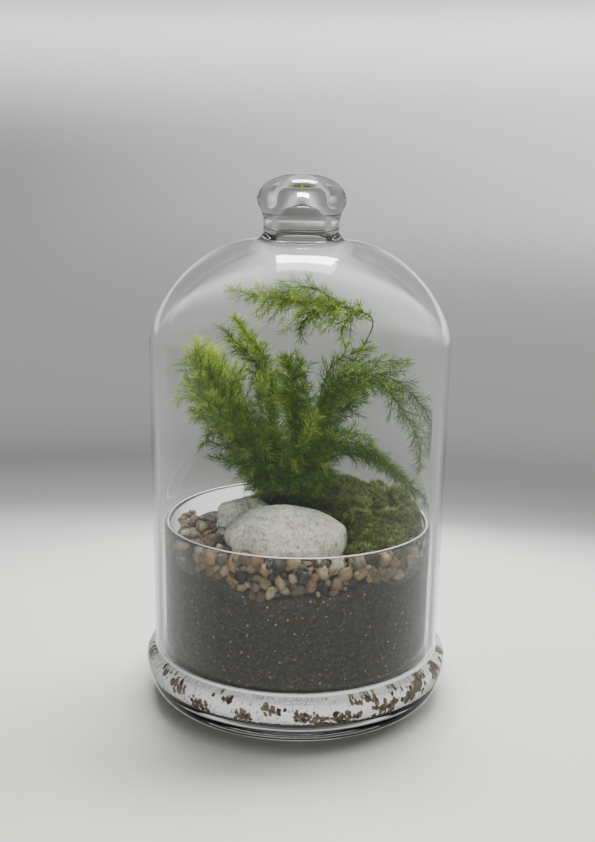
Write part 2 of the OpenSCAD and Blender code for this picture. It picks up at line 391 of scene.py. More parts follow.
def pebbles(name, spots, material, slot, node, palette, seed, level=2, amount=0.34, wall=None):
    """One mesh of many separate irregular stones. spots: rows of x, y, z, radius.
    wall: gives the radius of the glass at each height; stones lie flat against it."""
    rng = np.random.default_rng(seed)
    ball, tri = icosphere(level)
    tri = rows(tri)
    verts, faces, tints = [], [], []
    for i, (x, y, z, r) in enumerate(spots):
        p = rough_ball(ball, seed * 50 + i, amount, 1.35)
        p = p * np.array([1.18, 0.98, 0.80]) * rng.uniform(0.9, 1.08, 3)
        p = p @ turn(rng).T * r + (x, y, z)
        verts.append(p)
        faces.append(tri)
        c = np.array(palette[rng.integers(len(palette))]) * rng.uniform(0.75, 1.15)
        tints.append(np.tile(np.clip(c, 0, 1), (len(ball), 1)))
    verts, faces, tints = join(list(zip(verts, faces, tints)))
    if wall is not None:
        far = np.hypot(verts[:, 0], verts[:, 1])
        verts[:, :2] *= np.minimum(1, wall(verts[:, 2]) / far)[:, None]
    mesh(name, verts, faces, material, slot, BASE, [node], tints)


SPIKE = rows([(0, 2, 1), (0, 1, 3), (1, 2, 3), (2, 0, 3)])
NEEDLE = rows([(0, 2, 1), (0, 1, 4, 3), (1, 2, 5, 4), (2, 0, 3, 5), (3, 4, 6), (4, 5, 6),
               (5, 3, 6)])


def needles(base, way, length, width, bend, tone, rng, curved=True):
    """Vertices, faces and tones of many thin three-sided needles, bent or straight."""
    n = len(base)
    way = way / np.linalg.norm(way, axis=1)[:, None]
    side = np.cross(way, rng.normal(size=(n, 3)))
    side /= np.linalg.norm(side, axis=1)[:, None]
    up = np.cross(way, side)
    length, tone = np.broadcast_to(length, n), np.broadcast_to(tone, n)
    one = NEEDLE if curved else SPIKE
    per = int(one.max()) + 1
    verts = np.empty((n, per, 3))
    middle = base + way * (length * 0.55)[:, None] + bend * 0.3
    for k in range(3):
        a = TAU * k / 3
        spoke = (side * math.cos(a) + up * math.sin(a)) * width
        verts[:, k] = base + spoke * (0.7 if curved else 1.0)
        if curved:
            verts[:, 3 + k] = middle + spoke
    verts[:, -1] = base + way * length[:, None] + bend
    shift = (np.arange(n) * per)[:, None, None]
    faces = np.where(one[None] < 0, -1, one[None] + shift).reshape(-1, 4)
    tones = np.repeat(tone, per).reshape(n, per).copy()
    tones[:, -1] += 0.12
    tones[:, :3] -= 0.08
    return verts.reshape(-1, 3), faces, tones.reshape(-1)


def tube(path, radius, sides, tone):
    """A closed tube along the path with a radius for each point: vertices, faces, tones."""
    path = np.asarray(path, float)
    n = len(path)
    t = np.vstack([path[1:], path[-1:]]) - np.vstack([path[:1], path[:-1]])
    t /= np.linalg.norm(t, axis=1)[:, None]
    u = np.cross(t, (0.2, 1, 0.1))
    u /= np.linalg.norm(u, axis=1)[:, None]
    v = np.cross(t, u)
    a = np.arange(sides) * TAU / sides
    ring = (u[:, None] * np.cos(a)[None, :, None] + v[:, None] * np.sin(a)[None, :, None])
    verts = (path[:, None] + ring * np.broadcast_to(radius, n)[:, None, None]).reshape(-1, 3)
    k = np.arange(sides)
    first = (np.arange(n - 1) * sides)[:, None]
    nxt = (k + 1) % sides
    quads = np.stack([first + k, first + sides + k, first + sides + nxt, first + nxt], -1)
    ends = rows([list(range(sides)), [(n - 1) * sides + m for m in range(sides - 1, -1, -1)]])
    tones = np.repeat(np.broadcast_to(tone, n), sides)
    return verts, np.vstack([quads.reshape(-1, 4), ends]), tones


# ---------------- glass
AROUND, SAND_AROUND, SOIL_AROUND = 192, 540, 420    # facets around the glass and its fill
DOME_GLASS = glass("dome_glass", (0.985, 0.995, 0.99), (0.965, 0.975, 0.97), 0.05,
                   ((0.188, 1.0), (0.207, 0.90), (0.238, 0.84), (0.246, 0.58)))
# this glass is darker in its heel: partly its thickness, partly painted shade for the table's
# shadow under the foot
BASE_GLASS = glass("vessel_glass", (0.955, 0.985, 0.97), (0.98, 0.99, 0.985), 0.08,
                   ((0.0, 0.42), (0.008, 0.52), (0.013, 0.9), (0.02, 1.0)))

# outlines of the glass are points of radius and height in mm
rim = smooth_profile([(70.2, 25.2), (71.3, 25.35), (71.95, 25.9), (72.1, 26.7), (71.9, 27.6),
                      (71.7, 28.8), (71.72, 32)], 4)
dome_out = (rim + [(71.95, 50), (72.5, 95), (73.05, 140)]
            + shoulder(20.9, 52.5, 180, 49.2))
knob = smooth_profile([(20.9, 229.2), (19.4, 231.2), (18.6, 233), (18.3, 236), (18.5, 239.2),
                       (19.2, 241.8), (20.3, 244.2), (21.2, 246.4), (21.5, 248.2), (21.3, 250),
                       (20.6, 251.8), (19.2, 253.8), (17.1, 255.8), (13.9, 257.7), (10, 259),
                       (5.5, 259.8), (0, 260)], 5)
dome_in = (smooth_profile([(70.2, 25.2), (69.0, 25.35), (68.4, 25.9), (68.2, 26.8), (68.2, 30)], 3)
           + [(68.4, 50), (68.95, 95), (69.5, 140)]
           + shoulder(13, 56.9, 180, 45.7))
bore = smooth_profile([(13, 225.7), (12.7, 226.8), (12.3, 229.2), (12, 232), (11.9, 240.2),
                       (11.3, 243.6), (9.6, 247), (6, 249.6), (0, 250.4)], 5)
outer = dome_out[:-1] + knob
inner = dome_in[:-1] + bore
# both ends of this profile are on the axis: the knob's top and the roof of the bore
mesh("dome_blown_glass", *lathe(inner[::-1] + outer[1:], AROUND), DOME_GLASS, "dome_glass",
     DOME, [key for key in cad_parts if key.startswith("glass_")])
# the dome's lower edge is ground flat: a frosted ring where it stands on the foot, whose white is
# partly the frosting and partly a painted highlight along the rim
n = Nodes("frost_and_painted_highlight")
frost = n.ramp(n.noise(n.place(), 800, 3), [(0.3, (0.86, 0.88, 0.87)), (0.7, (1.0, 1.0, 1.0))])
frost_and_highlight = n.finish(frost, 0.6)
edge = [(68.9, 25.9), (69.3, 25.4), (71.2, 25.4), (71.75, 26.0), (71.6, 26.8), (69.3, 26.8),
        (68.9, 25.9)]
mesh("dome_edge_frost_and_highlight", *lathe(edge, AROUND), frost_and_highlight, "dome_glass", DOME)

vessel_low = smooth_profile([(38, 0), (50, 0), (61, 0), (64.8, 0.5), (68.3, 2), (71.4, 4.8),
                             (73.7, 8.7), (75.2, 13.2), (76, 16.8), (76.2, 19.4),
                             (75.7, 21.8), (74.4, 23.8), (73, 25), (72.3, 25.2)], 4)
vessel_cup = smooth_profile([(67.6, 25.2), (66.8, 25.5), (66.4, 26.6), (66.3, 31.2)], 3) + \
    smooth_profile([(66.9, 89.1), (66.6, 90.5), (65.9, 91.2), (65.2, 91.3), (64.3, 91),
                    (63.7, 90.1), (63.6, 88.9)], 4)
# the inner face, from the cup's wall down to the middle of the floor
HOLLOW = [(63.1, 29), (63.2, 26.6), (63.9, 24.4), (65.4, 22.7), (68.4, 21.7), (70.8, 20.6),
          (72.1, 18.8), (72.3, 16.6), (71.3, 13.8), (69, 10.8), (65.4, 8.2), (60.6, 6.5),
          (53, 5.6)]
vessel = [(0, 1), (36, 1)] + vessel_low + vessel_cup + smooth_profile(HOLLOW, 4) + [(0, 5.6)]
mesh("vessel_pressed_glass", *lathe(vessel, AROUND), BASE_GLASS, "vessel_glass", BASE,
     ["base_vessel"])
# a white ring inside the cup's rim: a painted highlight, where the rounded glass gathers the light
highlight_ring = [(65.1 + 0.34 * math.cos(TAU * i / 8), 90.78 + 0.22 * math.sin(TAU * i / 8))
          for i in range(9)]
mesh("vessel_rim_painted_highlight", *lathe(highlight_ring, AROUND), frost_and_highlight, "vessel_glass", BASE)


# ---------------- sand, grit, soil
def sand_grain(r, z, a):
    """Roughens the part of the sand that shows through the foot."""
    if 8 < z < 20.5 and r > 50:
        p = Vector((r * math.cos(a), r * math.sin(a), z))
        r += 0.22 * (noise.noise(p * 1.6) - 0.6)
    return r, z


# Sand and soil press on the glass, a little into its inner face, so no air gap shows. Low in
# the foot the sand stays off the glass, which keeps the heel clear.
PRESS, GAP, HEEL_Z = 0.3, 0.4, 12
hollow = np.array(HOLLOW[:2:-1])
way = np.gradient(hollow, axis=0)
way /= np.linalg.norm(way, axis=1)[:, None]
outward = np.stack([way[:, 1], -way[:, 0]], 1)
pressed = hollow + outward * np.where(hollow[:, 1] > HEEL_Z, PRESS, -GAP)[:, None]
sand_line = smooth_profile([*map(tuple, pressed), (62.6, 20.9)], 6)
sand = lathe([(0, 5.9)] + sand_line + [(0, 20.8)], SAND_AROUND, sand_grain)
mesh("sand_fill", *sand, sand_look(), "sand", BASE, ["white_sand"])

GRAVEL = [(0.25, 0.18, 0.11), (0.21, 0.15, 0.09), (0.32, 0.25, 0.16), (0.25, 0.14, 0.075),
          (0.20, 0.155, 0.11), (0.13, 0.10, 0.075), (0.35, 0.30, 0.21), (0.05, 0.042, 0.035),
          (0.28, 0.20, 0.11), (0.17, 0.125, 0.09)]
GRIT = [(0.22, 0.175, 0.12), (0.15, 0.12, 0.085), (0.055, 0.05, 0.042), (0.27, 0.215, 0.145),
        (0.09, 0.083, 0.07), (0.18, 0.145, 0.10)]


def foot_skin(t):
    """A point of the sand's outer skin (radius, height), t from 0 at the floor to 1 at the top."""
    i = t * (len(sand_line) - 1)
    k = min(int(i), len(sand_line) - 2)
    a, b = np.array(sand_line[k]), np.array(sand_line[k + 1])
    return a + (b - a) * (i - k)


def grit_spots():
    """Clumps of grit against the foot's glass, with a scatter between them."""
    rng = np.random.default_rng(5)
    out = []
    # angle around the foot, place on the skin, size of the clump
    clumps = [(212, 0.62, 5), (222, 0.50, 9), (231, 0.40, 9), (244, 0.62, 4), (251, 0.36, 12),
              (262, 0.50, 4), (274, 0.42, 10), (279, 0.34, 9), (289, 0.36, 13), (298, 0.62, 12),
              (305, 0.42, 14), (311, 0.66, 9), (318, 0.46, 14), (326, 0.60, 11), (337, 0.5, 8),
              (352, 0.6, 7), (10, 0.5, 9), (30, 0.6, 8), (52, 0.4, 9), (75, 0.55, 8),
              (98, 0.5, 9), (120, 0.6, 8), (141, 0.45, 9), (165, 0.55, 8), (188, 0.6, 7)]
    for angle, t, count in clumps:
        for _ in range(int(count * 2.4)):
            a = math.radians(angle + rng.normal() * 2.5)
            r, z = foot_skin(float(np.clip(t + 0.08 + rng.normal() * 0.05, 0.2, 0.92)))
            size = rng.uniform(0.8, 1.75)
            r -= size * 0.5
            out.append((r * math.cos(a), r * math.sin(a), z, size))
    for _ in range(700):
        a = rng.uniform(0, TAU)
        r, z = foot_skin(rng.uniform(0.80, 0.99))
        size = rng.uniform(0.3, 0.75)
        out.append(((r - size * 0.2) * math.cos(a), (r - size * 0.2) * math.sin(a), z, size))
    for _ in range(420):
        a = rng.uniform(0, TAU)
        r, z = foot_skin(rng.uniform(0.25, 0.95))
        size = rng.uniform(0.15, 0.42)
        out.append(((r - size * 0.1) * math.cos(a), (r - size * 0.1) * math.sin(a), z, size))
    return out


def foot_wall(z):
    """Radius that grit in the foot may reach at height z: just proud of the sand."""
    line = np.array([foot_skin(t) for t in np.linspace(0.02, 0.98, 80)])
    line = line[np.argsort(line[:, 1])]
    return np.interp(z, line[:, 1], line[:, 0]) + 0.12


pebbles("foot_grit", grit_spots(), pebble_look("grit", 0.75), "grit", "drainage_grit", GRIT, 3,
        1, 0.5, foot_wall)


def band_floor(a):
    """Height of the gravel's lower edge at angle a: deepest at the front."""
    front = max(0.0, math.cos(a + math.pi / 2))
    return 78.5 - 7.0 * front ** 2 + 1.6 * math.sin(5 * a + 1) + 1.2 * math.sin(11 * a)


# the soil's wall is even up to one height, and above it ends at the gravel's lower edge
EVEN_Z, EDGE_Z = 60, 76.4


def soil_lump(r, z, a):
    """Roughens the soil and follows the gravel's lower edge where it meets the glass."""
    p = Vector((r * math.cos(a), r * math.sin(a), z))
    k = 0.10 * noise.noise(p * 2.3) + (0.5 * noise.noise(p * 0.4) if r < 60 else 0)
    if z > EVEN_Z and r > 57:
        z = EVEN_Z + (z - EVEN_Z) * (band_floor(a) - EVEN_Z) / (EDGE_Z - EVEN_Z)
    return (r + k, z + (k if r < 60 and z > 30 else 0)) if r > 3 else (r, z)


SOIL_WALL = 63.95    # the soil's radius against the cup's glass
soil_line = ([(40, 21), (58, 21), (63.2, 21.3)]
             + [(SOIL_WALL, z) for z in np.arange(22.5, 75.9, 1.2)]
             + [(61.5, 76.2), (58, 76.6), (55.8, 78.2), (54.6, 80.2), (50, 81), (42, 81.6),
                (33, 82.5), (25, 83.4), (14, 84.1), (6, 84.5)])
soil = lathe([(0, 21)] + soil_line + [(0, 84.6)], SOIL_AROUND, soil_lump)
mesh("soil_fill", *soil, soil_look(), "soil", BASE, ["potting_soil"])


# ---------------- gravel
# centre and semi-axes of the stones and of the larger moss cushions, which the gravel avoids
STONE = (np.array([-5.4, -35, 89.6]), np.array([29.2, 21, 17.2]))
SMALL = (np.array([-25.5, -6, 89.5]), np.array([14.8, 11, 12.6]))
MOUND = (np.array([21, 18, 84]), np.array([32, 34, 21.5]))
BEHIND = (np.array([-13, 26, 84]), np.array([19, 18, 11]))
STAR = (np.array([39, -25, 85.5]), np.array([15, 16.5, 10.5]))


def inside(p, egg, grow):
    """Whether the point is in the egg, grown by so many mm."""
    return float(np.sum(((np.asarray(p) - egg[0]) / (egg[1] + grow)) ** 2)) < 1


def pack_band(low, high, seed, tries):
    """Stones against the cup's glass between two heights by angle. The largest are set first,
    and a stone that would run through another is dropped."""
    rng = np.random.default_rng(seed)
    kept = []
    for _ in range(tries):
        a = rng.uniform(0, TAU)
        r = rng.choice([1.2, 1.6, 2.0, 2.4, 2.8, 3.3], p=[0.08, 0.14, 0.22, 0.24, 0.2, 0.12])
        z0, z1 = low(a), high(a)
        if z1 - z0 < 2:
            continue
        z = rng.uniform(z0, z1)
        layer = rng.choice([0, 0, 0, 1])
        rad = SOIL_WALL - 0.05 - r * 0.95 - layer * 4.6
        kept.append((rad * math.cos(a), rad * math.sin(a), z, r))
    out = np.zeros((0, 4))
    for s in sorted(kept, key=lambda s: -s[3] + 0.6 * math.sin(s[0] * 9)):
        s = np.array(s)
        if len(out) == 0 or np.all(np.linalg.norm(out[:, :3] - s[:3], axis=1)
                                   > 0.76 * (out[:, 3] + s[3])):
            out = np.vstack([out, s])
    return [tuple(s) for s in out]


def band_roof(a):
    """Height of the gravel's upper edge: highest at the front, low behind."""
    front = max(0.0, math.cos(a + math.pi / 2 - 0.1))
    return 80.2 + 7.2 * min(1, front * 1.7)


# the noise leaves a few gaps in the band, where soil shows
band = [s for s in pack_band(lambda a: band_floor(a) + 1.0, band_roof, 8, 9000)
        if not inside(s[:3], STONE, 1.0) and not inside(s[:3], MOUND, 1.2)
        and not inside(s[:3], STAR, 0.6)
        and noise.noise(Vector(s[:3]) * 0.11) > -0.42]
# the three courses that the frame has, by height
split = {"low": [], "mid": [], "top": []}
for s in band:
    split["low" if s[2] < 76.6 else "mid" if s[2] < 82.6 else "top"].append(s)
TAN = pebble_look("gravel")
for k, (key, spots) in enumerate(split.items()):
    pebbles(f"gravel_{key}", spots, TAN, "pebbles", f"gravel_band_{key}", GRAVEL, 20 + k,
            2, 0.16)


def surface_spots():
    """Loose gravel on the soil, clear of the stones and of the moss."""
    rng = np.random.default_rng(77)
    out = np.zeros((0, 4))
    for _ in range(4200):
        r = rng.uniform(1.3, 3.3)
        a, rad = rng.uniform(0, TAU), 59.5 * math.sqrt(rng.uniform(0, 1))
        x, y = rad * math.cos(a), rad * math.sin(a)
        # the moss has the right and the back
        if x > 14 and y > -44 or x > -14 and y > -12 or y > 15 + 6 * math.sin(x * 0.3):
            continue
        z = 82.2 + 0.35 * r + 3.6 * rng.uniform() * min(1, max(0, -x - 12) / 16)
        p = np.array([x, y, z, r])
        if inside(p[:3], STONE, r * 0.5) or inside(p[:3], SMALL, r * 0.5) \
                or inside(p[:3], MOUND, 1) or inside(p[:3], BEHIND, 1):
            continue
        if len(out) == 0 or np.all(np.linalg.norm(out[:, :3] - p[:3], axis=1)
                                   > 0.78 * (out[:, 3] + r)):
            out = np.vstack([out, p])
    return [tuple(s) for s in out]


pebbles("gravel_loose", surface_spots(), TAN, "pebbles", "surface_gravel", GRAVEL, 31)


# ---------------- stones
def river_stone(name, egg, seed, amount, freq, material, node, power, low):
    """A water-worn stone: a rounded block, lumpy, worn flat underneath."""
    ball, tri = icosphere(5)
    size = (np.abs(ball) ** power).sum(axis=1) ** (1 / power)
    p = rough_ball(ball / size[:, None], seed, amount, freq)
    p = p / np.abs(p).max(axis=0) * egg[1] + egg[0]
    under = p[:, 2] < low
    p[under, 2] = low - 0.12 * (low - p[under, 2])
    mesh(name, p, tri, material, "granite", BASE, [node])


river_stone("stone_large", STONE, 4, 0.10, 1.2,
            granite_look("granite", (0.46, 0.445, 0.365), (0.31, 0.305, 0.265),
                         (0.36, 0.34, 0.26)),
            "large_stone", 2.02, 82.5)
river_stone("stone_small", SMALL, 9, 0.16, 1.1,
            granite_look("slate", (0.50, 0.52, 0.43), (0.34, 0.36, 0.28),
                         (0.30, 0.32, 0.20)),
            "small_stone", 2.8, 81.0)


# ---------------- moss
SKIN_WALL, LEAF_WALL = 62.8, 63.3    # radii that moss and its leaves keep to inside the cup


def within(p, limit):
    """Pulls the points in to a radius from the axis."""
    p[:, :2] *= np.minimum(1, limit / np.hypot(p[:, 0], p[:, 1]))[:, None]


def cushion(name, eggs, seed, material, node, clumps, leaf, count, star):
    """Lumpy cushions with real leaves standing on them. eggs: centres and semi-axes in mm.
    star: how many leaves make a star, or 0 for plain moss with leaves in threes."""
    rng = np.random.default_rng(seed)
    parts = []
    area = sum(float(e[1][0] * e[1][1]) for e in eggs)
    for e, egg in enumerate(eggs):
        ball, tri = icosphere(5 if egg[1][0] > 14 else 4)
        tri = rows(tri)
        shift = Vector((seed + e * 5.1, seed * 2.3, e * 1.7))
        lumps = np.array([0.09 * noise.noise(Vector(p) * clumps + shift)
                          + 0.05 * noise.noise(Vector(p) * clumps * 2.6 + shift) for p in ball])
        skin = ball * (0.93 + lumps)[:, None] * egg[1] + egg[0]
        within(skin, SKIN_WALL)
        parts.append((skin, tri, np.clip(0.22 + lumps * 2.2, 0.02, 1)))
        want = int(count * float(egg[1][0] * egg[1][1]) / area)
        share = np.array([i for i in rng.permutation(len(ball) * 2) % len(ball)
                          if ball[i][2] > -0.15][:want])
        normal = ball[share] / egg[1]
        normal /= np.linalg.norm(normal, axis=1)[:, None]
        start = skin[share] - normal * 0.3
        others = [o for k, o in enumerate(eggs) if k != e]
        free = np.array([not any(inside(q, o, -0.5) for o in others) for q in start])
        start, normal, lump = start[free], normal[free], lumps[share][free]
        per = star or 3
        base = np.repeat(start, per, axis=0)
        base = base + rng.normal(size=base.shape) * (0.15 if star else 0.5)
        way = np.repeat(normal, per, axis=0) + (0, 0, 0.25)
        way = way + rng.normal(size=way.shape) * (0.95 if star else 0.55)
        size = leaf * rng.uniform(0.6, 1.25, len(base))
        leaf_tone = np.clip(0.34 + lump * 3 + rng.normal(size=len(lump)) * 0.17, 0.03, 1)
        v, f, t = needles(base, way, size, 0.2 if star else 0.16, np.zeros_like(base),
                          np.repeat(leaf_tone, per), rng, curved=False)
        within(v, LEAF_WALL)
        parts.append((v, f, t))
    verts, faces, tint = join(parts)
    mesh(name, verts, faces, material, "moss", BASE, [node], np.clip(tint, 0, 1))


MOSS = leaf_look("moss", (0.012, 0.016, 0.002), (0.070, 0.092, 0.009),
                 (0.28, 0.33, 0.05), 0.8)
STARRY = leaf_look("star_moss", (0.015, 0.021, 0.003), (0.088, 0.114, 0.013),
                   (0.36, 0.43, 0.08), 0.75)
# lobes that carry the moss to the glass at the right and behind: angle, radius, height
EDGE = [(np.array([r * math.cos(math.radians(a)), r * math.sin(math.radians(a)), 80.5]),
         np.array([12, 12, h]))
        for a, r, h in ((-14, 54, 14), (4, 56, 18), (22, 56, 21), (40, 55, 20), (58, 53, 17),
                        (76, 51, 11), (94, 50, 8))]
cushion("moss_cushion", [MOUND, BEHIND] + EDGE, 3, MOSS, "moss_mound", 3.4, 2.4, 9500, 0)
TUFTS = [(np.array([x, y, z]), np.array([a, a, a * 0.8]))
         for x, y, z, a in ((46, -8, 90, 8), (30, -12, 92, 7), (52, -20, 87, 7), (30, -44, 84, 8),
                            (43, -37, 86, 8))]
cushion("moss_stars", [STAR] + TUFTS, 6, STARRY, "star_moss", 4.2, 3.0, 1900, 7)

# ---------------- fern
FERN = leaf_look("fern_needles", (0.009, 0.026, 0.001), (0.056, 0.136, 0.002),
                 (0.470, 0.600, 0.034), 0.55)
NEEDLE_R = 0.105              # half the width of a needle
REACH, GAP_ALONG, PER = 6.0, 1.2, 5    # a needle's length, and its whorls' spacing and count
SOIL_Z = 88                   # the canes leave the crown at this height
SPREAD = 7.0                  # how far a twin cane strays from its own
TURN = 2.4                    # radians round the stem from one side shoot to the next
# the dome's room for the fern: a wall, a slope from the shoulder on, and a roof
ROOM_R, ROOM_SHOULDER_Z, ROOM_SLOPE, ROOM_TOP_Z = 65.8, 176, 0.62, 218


def whorls(path, reach, tone, rng, stem):
    """A shoot with whorls of needles that lean forward. path: points 1 mm apart."""
    path = np.asarray(path, float)
    n = len(path)
    s = np.linspace(0, 1, n)
    parts = [tube(path, stem * (1 - 0.65 * s) + 0.08, 5, np.clip(tone - 0.12 + 0.15 * s, 0, 1))]
    at = np.arange(GAP_ALONG * rng.uniform(0.5, 1), n - 1, GAP_ALONG)
    if not len(at):
        return parts
    at = np.repeat(np.minimum(at + rng.normal(size=len(at)) * 0.15, n - 1.01), PER)
    i = at.astype(int)
    t = path[i + 1] - path[i]
    base = path[i] + t * (at - i)[:, None]
    t /= np.linalg.norm(t, axis=1)[:, None]
    side = np.cross(t, rng.normal(size=t.shape))
    side /= np.linalg.norm(side, axis=1)[:, None]
    part = at / (n - 1)
    lean = rng.uniform(0.8, 2.1, len(at)) * (1.05 - 0.6 * part ** 3)
    size = reach * rng.uniform(0.65, 1.1, len(at)) * np.clip(1.25 - 0.5 * part, 0.6, 1.0)
    leaf_tone = np.clip(tone + 0.24 * (part - 0.4) + rng.normal(size=len(at)) * 0.10, 0.02, 1)
    parts.append(needles(base, t + side * lean[:, None], size, NEEDLE_R,
                         t * (size * 0.2)[:, None], leaf_tone, rng))
    return parts


def keep_clear(p):
    """Pulls points back inside the dome's room."""
    r = np.hypot(p[..., 0], p[..., 1])
    over = np.maximum(p[..., 2] - ROOM_SHOULDER_Z, 0)
    limit = ROOM_R - over * ROOM_SLOPE
    p[..., :2] *= np.minimum(1, limit / np.maximum(r, 1e-6))[..., None]
    p[..., 2] = np.minimum(p[..., 2], ROOM_TOP_Z)
    return p


def shoot_path(start, way, length, sag, rng):
    """A side shoot's path at 1 mm steps, which sways a little and hangs by its sag."""
    n = max(4, int(length) + 1)
    s = np.linspace(0, 1, n)[:, None]
    way = way / np.linalg.norm(way)
    sway = rng.normal(size=3) * length * 0.06
    return keep_clear(start + way * length * s + np.array([0, 0, -1]) * sag * length * s ** 2
                      + sway * np.sin(s * math.pi))


def even_path(points):
    """The curve through the points, at 1 mm steps."""
    path = curve_through(points, 24)
    seg = np.linalg.norm(np.diff(path[:, :3], axis=0), axis=1)
    dist = np.concatenate([[0], np.cumsum(seg)])
    steps = np.linspace(0, dist[-1], int(dist[-1]))
    return np.stack([np.interp(steps, dist, path[:, k]) for k in range(4)], 1)


def cane(points, rng, tone, side_len, low, sag, pitch=2.0):
    """One cane: its stem, needles on the plume, and side shoots with needles of their own.
    low: share of side shoots below the plume. pitch: mm of stem between side shoots."""
    path = even_path(points)
    plume, n = path[:, 3], len(path)
    s = np.linspace(0, 1, n)
    parts = [tube(path[:, :3], 0.5 * (1 - 0.6 * s), 6, np.clip(0.32 + 0.1 * s, 0, 1))]
    first = int(np.argmax(plume > 1.25))
    parts += whorls(path[max(first - 4, 0):, :3], REACH, tone, rng, 0.2)
    turned = rng.uniform(0, TAU)
    for i in np.arange(0, n - 2, pitch).astype(int):
        turned += TURN
        t = path[min(i + 2, n - 1), :3] - path[max(i - 2, 0), :3]
        t /= np.linalg.norm(t)
        u = np.cross(t, (0.2, 1, 0.1))
        u /= np.linalg.norm(u)
        side = u * math.cos(turned) + np.cross(t, u) * math.sin(turned)
        if i >= first:
            length = side_len * np.clip(plume[i] / 4, 0.3, 1.1) * rng.uniform(0.6, 1.15)
            way, droop = t * 0.8 + side * 0.75, sag
        elif i > n * 0.16 and rng.uniform() < low:
            length = side_len * 1.45 * rng.uniform(0.5, 1.15)
            way, droop = t * 0.45 + side, sag + 0.1
        else:
            continue
        shoot = shoot_path(path[i, :3], way, length, droop, rng)
        # shoots are darker low in the bush: older growth, and painted shade under the fronds above
        lit = np.clip((shoot[0, 2] - 105) / 75, 0, 1)
        leaf_tone = np.clip(tone * (0.55 + 0.55 * lit) + rng.normal() * 0.07, 0.04, 0.95)
        parts += whorls(shoot, REACH * 0.95, float(leaf_tone), rng, 0.14)
    return parts


def frond(key, points, seed, tone, side_len, low, twins, sag=0.12, pitch=2.0):
    """A cane of the fern, its twin canes, which grow close beside it, and its short canes."""
    rng = np.random.default_rng(seed)
    parts = cane(points, rng, tone, side_len, low, sag, pitch)
    for _ in range(twins):
        q = np.array(points, float)
        part = np.linspace(0, 1, len(q))[:, None]
        q[:, :3] += rng.normal(size=3) * SPREAD * (0.15 + part)
        q[1:, 2] = SOIL_Z + (q[1:, 2] - SOIL_Z) * rng.uniform(0.84, 1.0)
        q = keep_clear(q)
        q[0, :3] = np.array(points[0][:3]) + rng.normal(size=3) * (1.2, 1.2, 0)
        parts += cane(q, rng, tone * rng.uniform(0.75, 1.1), side_len * 0.9, low, sag)
    for q, own in FILL.get(key, ()):
        parts += cane(q, rng, own, side_len * 0.85, low, sag)
    verts, faces, tint = join(parts)
    mesh(f"fern_{key}", keep_clear(verts), faces, FERN, "fern", BASE, [f"frond_{key}"],
         np.clip(tint, 0, 1))


# each: route and plume radius, tone, length of side shoots, share of low shoots, twin canes
FRONDS = {
    "left": ([(-7, 8, 88, 0.9), (-20, 6, 126, 1), (-36, 2, 147, 3.5), (-45, -2, 161, 4.5),
              (-49, -5, 173, 4), (-49, -6, 180, 1)], 0.79, 12, 0.9, 3),
    "left_low": ([(-5, 5, 88, 0.9), (-25, -10, 136, 1), (-38, -18, 149, 4), (-46, -23, 156, 4.5),
                  (-51, -25, 160, 1)], 0.66, 13, 0.9, 3),
    "left_mid": ([(-6, 14, 88, 0.9), (-24, 22, 131, 1), (-36, 29, 149, 4.5), (-42, 33, 160, 4),
                  (-45, 34, 168, 1)], 0.6, 13, 0.9, 3),
    "lower_left": ([(-7, 11, 88, 0.9), (-15, 11, 110, 1), (-25, 11, 119, 3), (-37, 12, 123, 3),
                    (-47, 12, 126, 0.8)], 0.42, 8, 0.5, 1),
    "upper_left": ([(-3, 15, 88, 0.9), (-12, 14, 130, 1), (-13, 16, 151, 4), (-19, 16, 171, 3.5),
                    (-27, 14, 183, 2.5), (-33, 10, 192, 0.8)], 0.6, 10, 0.8, 3),
    "centre": ([(-1, 4, 88, 0.9), (1, -6, 131, 1), (-1, -14, 151, 4.5), (-2, -18, 165, 4.5),
                (-5, -18, 175, 1)], 0.5, 12, 0.9, 3),
    "tall": ([(1, 13, 88, 0.9), (7, 12, 132, 0.8), (18, 12, 153, 0.8), (30, 12, 174, 0.8),
              (36, 11, 190, 1), (28, 5, 197, 3), (14, 0, 199, 5), (-4, -4, 202, 5),
              (-19, -8, 204, 2.0), (-33, -10, 207, 0.8)], 0.64, 14, 0, 0),
    "right_upper": ([(1, 7, 88, 0.9), (8, 4, 134, 0.9), (11, -3, 156, 2.5), (16, -8, 170, 4),
                     (25, -10, 176, 3.5), (35, -11, 180, 1)], 0.5, 9, 0.7, 1),
    "right_tip": ([(4, 14, 88, 0.9), (10, 18, 136, 1), (19, 26, 157, 3.5), (34, 28, 164, 4),
                   (47, 27, 165, 2.5), (57, 25, 165, 0.8)], 0.48, 9, 0.8, 1),
    "right_arch": ([(2, 4, 88, 0.9), (8, -5, 132, 0.9), (14, -16, 158, 3), (24, -24, 168, 4),
                    (37, -25, 165, 4.5), (48, -23, 152, 3.5), (56, -19, 138, 2.5),
                    (59, -15, 127, 1.5), (59, -12, 118, 1)], 0.5, 9, 0.7, 1),
    "right_mid": ([(2, 16, 88, 0.9), (14, 26, 129, 1), (27, 36, 141, 4), (37, 39, 146, 1)],
                  0.44, 11, 0.7, 2),
    "lower_right": ([(4, 9, 88, 0.9), (9, 4, 119, 1), (20, -2, 130, 3.5), (33, -6, 128, 3),
                     (45, -8, 120, 2), (54, -8, 110, 1), (58, -8, 104, 0.7)], 0.46, 9, 0.8, 2),
    "back": ([(-2, 17, 88, 0.9), (2, 30, 128, 1), (-6, 42, 145, 4.5), (-10, 46, 155, 1)],
             0.42, 12, 0.9, 3),
}
